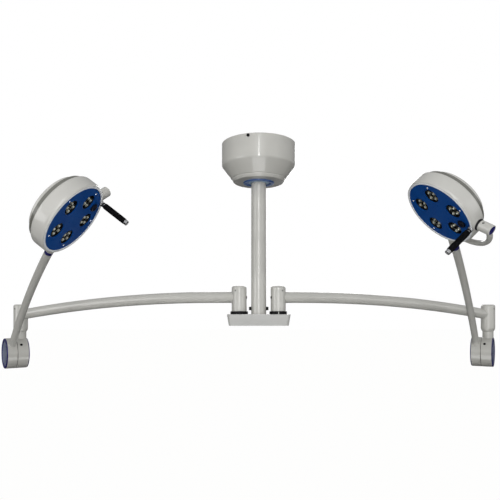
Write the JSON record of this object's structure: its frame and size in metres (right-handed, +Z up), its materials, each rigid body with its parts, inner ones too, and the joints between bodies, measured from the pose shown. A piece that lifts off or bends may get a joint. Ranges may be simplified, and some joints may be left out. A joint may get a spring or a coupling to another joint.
{
  "type": "surgical light",
  "caption": "Ceiling-mounted surgical light: a canopy and column carry a cross bar with swinging arms, each with a balanced spring arm, yoke and round tilting LED lamp head.",
  "frame": {"origin": "centre of the ceiling flange's top face, on the column axis", "axes": "+Z up out of the ceiling face, +X along the cross bar through both arm posts, -Y towards the side the lamp heads reach to"},
  "size_m": [2.2676, 0.9823, 0.92],
  "materials": {
    "white_paint": "warm off-white semi-gloss powder coat",
    "white_plastic": "warm off-white satin moulding",
    "blue_plastic": "deep blue glossy sheet",
    "navy_plastic": "navy glossy moulding",
    "pale_blue_plastic": "pale blue satin moulding",
    "black_plastic": "black satin",
    "grip_rubber": "black fine-grained rubber",
    "handle_chrome": "polished chrome",
    "plated_steel": "zinc-plated steel",
    "aluminium": "plain aluminium",
    "lens_plastic": "bright metallised reflector moulding"
  },
  "bodies": {
    "mount": {"ceiling_flange": "plated_steel", "power_supply": "aluminium", "canopy_shell": "white_paint", "canopy_screw": "black_plastic", "canopy_ring": "blue_plastic", "column_gland": "pale_blue_plastic", "column": "white_paint", "column_bolt": "black_plastic", "cross_bar": "white_paint", "bar_cover": "white_paint", "left_post_collar": "black_plastic", "right_post_collar": "black_plastic"},
    "left_arm": {"left_post_sleeve": "white_paint", "left_post_plug": "black_plastic", "left_arm_tube": "white_paint", "left_elbow_sleeve": "white_paint"},
    "left_drop": {"left_drop_stem": "white_paint", "left_hub_stem_half": "white_paint", "left_hub_stem_cap": "navy_plastic", "left_hub_axle": "black_plastic"},
    "left_lift": {"left_hub_arm_half": "white_paint", "left_hub_arm_cap": "navy_plastic", "left_spring_arm_tube": "white_paint", "left_swivel_ring": "navy_plastic"},
    "left_yoke": {"left_yoke": "white_paint", "left_pivot_barrel": "white_paint", "left_pivot_cap": "navy_plastic"},
    "left_head": {"left_head_casing": "white_plastic", "left_rear_cover": "white_plastic", "left_face_plate": "blue_plastic", "left_lens_array": "lens_plastic", "left_led_board": "aluminium", "left_pivot_bracket": "black_plastic", "left_handle_core": "handle_chrome", "left_handle_grip": "grip_rubber"},
    "left_button": {"left_light_button": "black_plastic"},
    "right_arm": {"right_post_sleeve": "white_paint", "right_post_plug": "black_plastic", "right_arm_tube": "white_paint", "right_elbow_sleeve": "white_paint"},
    "right_drop": {"right_drop_stem": "white_paint", "right_hub_stem_half": "white_paint", "right_hub_stem_cap": "navy_plastic", "right_hub_axle": "black_plastic"},
    "right_lift": {"right_hub_arm_half": "white_paint", "right_hub_arm_cap": "navy_plastic", "right_spring_arm_tube": "white_paint", "right_swivel_ring": "navy_plastic"},
    "right_yoke": {"right_yoke": "white_paint", "right_pivot_barrel": "white_paint", "right_pivot_cap": "navy_plastic"},
    "right_head": {"right_head_casing": "white_plastic", "right_rear_cover": "white_plastic", "right_face_plate": "blue_plastic", "right_lens_array": "lens_plastic", "right_led_board": "aluminium", "right_pivot_bracket": "black_plastic", "right_handle_core": "handle_chrome", "right_handle_grip": "grip_rubber"},
    "right_button": {"right_light_button": "black_plastic"}
  },
  "joints": [
    {"name": "left_arm_swing", "type": "hinge", "parent": "mount", "child": "left_arm", "pos_m": [-0.078, 0, -0.62], "axis": [0, 0, 1], "range_deg": [-110, 80]},
    {"name": "left_drop_swivel", "type": "hinge", "parent": "left_arm", "child": "left_drop", "pos_m": [-1.06683, 0.25021, -0.7], "axis": [0, 0, 1], "range_deg": [-150, 30]},
    {"name": "left_spring_arm_lift", "type": "hinge", "parent": "left_drop", "child": "left_lift", "pos_m": [-1.10426, 0.22262, -0.853], "axis": [-0.8049, -0.5934, 0], "range_deg": [-60, 12]},
    {"name": "left_yoke_swivel", "type": "hinge", "parent": "left_lift", "child": "left_yoke", "pos_m": [-0.71227, -0.30569, -0.4547], "axis": [0.5483, -0.7437, 0.3825], "range_deg": [-150, 150]},
    {"name": "left_head_tilt", "type": "hinge", "parent": "left_yoke", "child": "left_head", "pos_m": [-0.58945, -0.47228, -0.36903], "axis": [0.491, 0.6565, 0.5727], "range_deg": [-130, 75]},
    {"name": "left_button_press", "type": "slide", "parent": "left_head", "child": "left_button", "axis": [-0.7863, 0.0509, 0.6158], "range_m": [0, 0.0025], "stiffness_N_per_m": 800},
    {"name": "right_arm_swing", "type": "hinge", "parent": "mount", "child": "right_arm", "pos_m": [0.078, 0, -0.62], "axis": [0, 0, 1], "range_deg": [-80, 110]},
    {"name": "right_drop_swivel", "type": "hinge", "parent": "right_arm", "child": "right_drop", "pos_m": [1.05549, 0.2914, -0.7], "axis": [0, 0, 1], "range_deg": [-20, 150]},
    {"name": "right_spring_arm_lift", "type": "hinge", "parent": "right_drop", "child": "right_lift", "pos_m": [1.01563, 0.31535, -0.853], "axis": [-0.8572, 0.515, 0], "range_deg": [-60, 12]},
    {"name": "right_yoke_swivel", "type": "hinge", "parent": "right_lift", "child": "right_yoke", "pos_m": [0.68703, -0.23541, -0.42862], "axis": [-0.4676, -0.7782, 0.4192], "range_deg": [-150, 150]},
    {"name": "right_head_tilt", "type": "hinge", "parent": "right_yoke", "child": "right_head", "pos_m": [0.58229, -0.40973, -0.33472], "axis": [0.5853, -0.628, -0.5129], "range_deg": [-130, 75]},
    {"name": "right_button_press", "type": "slide", "parent": "right_head", "child": "right_button", "axis": [0.7131, 0.0976, 0.6942], "range_m": [0, 0.0025], "stiffness_N_per_m": 800}
  ]
}
